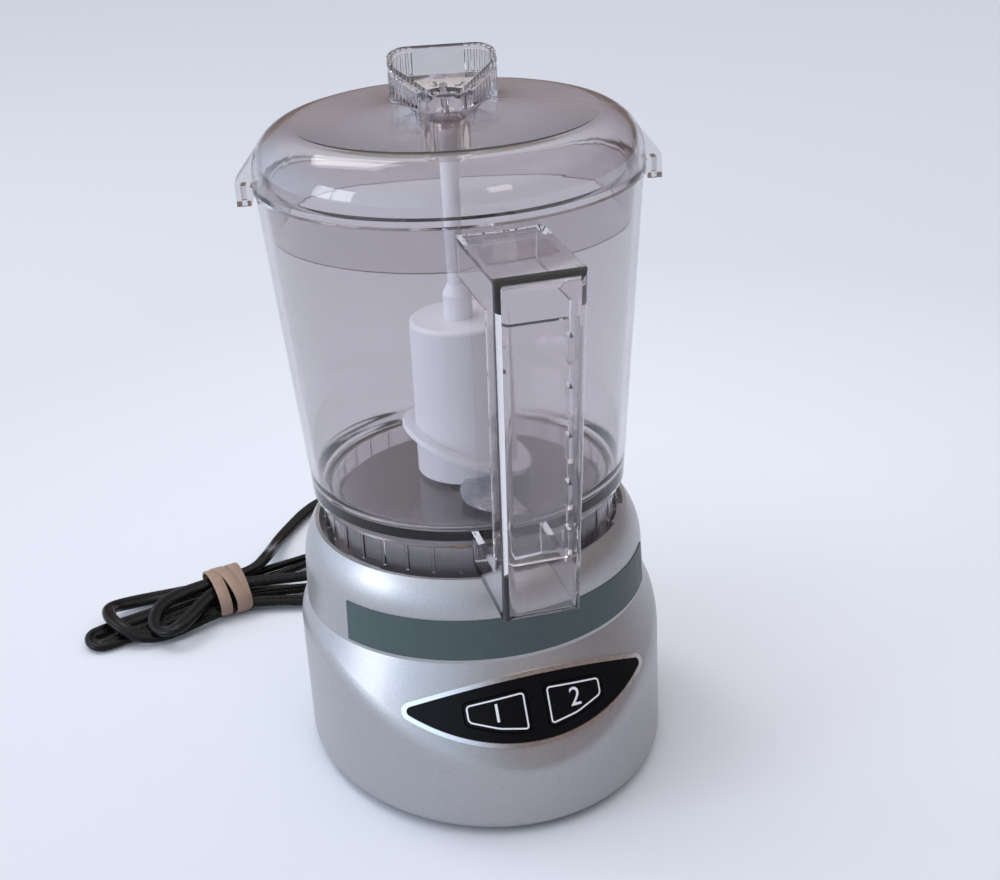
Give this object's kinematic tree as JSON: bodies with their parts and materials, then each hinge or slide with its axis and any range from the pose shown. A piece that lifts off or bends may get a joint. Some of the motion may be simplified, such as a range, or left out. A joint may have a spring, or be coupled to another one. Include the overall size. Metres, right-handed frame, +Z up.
{
  "type": "food processor",
  "caption": "Small belt-driven food processor with a clear lid and handled bowl, a sickle blade, a flared base with two pulse keys, and a tied mains cord.",
  "frame": {"origin": "on the blade's drive axis, at the level of the surface that the feet stand on", "axes": "+Z up along the drive axis, -Y to the front where the handle and the keys are, +X to the right"},
  "size_m": [0.2152, 0.3149, 0.2545],
  "materials": {
    "silver_paint": "silver paint on moulded plastic, satin",
    "silver_trim": "bright silver",
    "panel_black": "gloss black",
    "label": "printed film, satin",
    "clear_smoke": "clear smoke-tinted plastic, polished",
    "white_plastic": "white moulded plastic",
    "black_plastic": "moulded black",
    "cord_black": "gloss black flexible sheath",
    "rubber_black": "matte rubber",
    "rubber_tan": "natural rubber band",
    "blade_steel": "ground stainless steel",
    "steel": "plated steel",
    "magnet": "sintered ferrite",
    "bronze": "sintered bronze",
    "brass_blade": "plated brass",
    "board_green": "circuit board"
  },
  "bodies": {
    "base": {"base_housing": "silver_paint", "board_screws": "steel", "bottom_cover": "black_plastic", "brush_holders": "black_plastic", "chassis_plate": "steel", "chassis_screws": "steel", "control_board": "board_green", "control_panel": "panel_black", "cord_hank": "cord_black", "cord_lead": "cord_black", "cord_tail": "cord_black", "cord_tie": "rubber_tan", "cover_screws": "steel", "drive_belt": "rubber_black", "interlock_switch": "black_plastic", "label_band": "label", "lower_bush": "bronze", "motor_can": "steel", "motor_end_cap": "black_plastic", "motor_magnets": "magnet", "motor_screws": "steel", "panel_trim": "silver_trim", "plug_blades": "brass_blade", "plug_body": "cord_black", "rubber_feet": "rubber_black", "shaft_seal": "rubber_black", "strain_relief": "black_plastic", "tact_switches": "black_plastic", "upper_bush": "bronze"},
    "bowl": {"work_bowl": "clear_smoke", "bowl_handle": "clear_smoke", "handle_insert": "clear_smoke"},
    "lid": {"lid": "clear_smoke", "lid_knob": "clear_smoke"},
    "drive": {"drive_shaft": "steel", "driven_pulley": "black_plastic", "retaining_clip": "steel", "blade_hub": "white_plastic", "hub_stem": "white_plastic", "lower_blade": "blade_steel", "upper_blade": "blade_steel"},
    "rotor": {"motor_shaft": "steel", "motor_pulley": "black_plastic", "armature": "steel", "commutator": "bronze"},
    "key_one": {"key_one": "panel_black"},
    "key_two": {"key_two": "panel_black"},
    "interlock_pin": {"interlock_pin": "black_plastic"}
  },
  "joints": [
    {"name": "bowl_turn", "type": "hinge", "parent": "base", "child": "bowl", "pos_m": [0, 0, 0.09], "axis": [0, 0, 1], "range_deg": [0, 25]},
    {"name": "lid_lift", "type": "slide", "parent": "bowl", "child": "lid", "axis": [0, 0, 1], "range_m": [0, 0.13]},
    {"name": "drive_spin", "type": "hinge", "parent": "base", "child": "drive", "pos_m": [0, 0, 0.09], "axis": [0, 0, 1], "continuous": true},
    {"name": "motor_spin", "type": "hinge", "parent": "base", "child": "rotor", "pos_m": [0, 0.034, 0.05], "axis": [0, 0, 1], "continuous": true},
    {"name": "key_one_press", "type": "slide", "parent": "base", "child": "key_one", "axis": [0, 0.9049, -0.4256], "range_m": [0, 0.0008], "stiffness_N_per_m": 1500},
    {"name": "key_two_press", "type": "slide", "parent": "base", "child": "key_two", "axis": [0, 0.9049, -0.4256], "range_m": [0, 0.0008], "stiffness_N_per_m": 1500},
    {"name": "interlock_rise", "type": "slide", "parent": "base", "child": "interlock_pin", "axis": [0, 0, 1], "range_m": [0, 0.0026]}
  ],
  "couplings": [
    {"joint": "motor_spin", "follows": "drive_spin", "ratio": 4},
    {"joint": "interlock_rise", "follows": "bowl_turn", "m_per_rad": 0.00573}
  ]
}
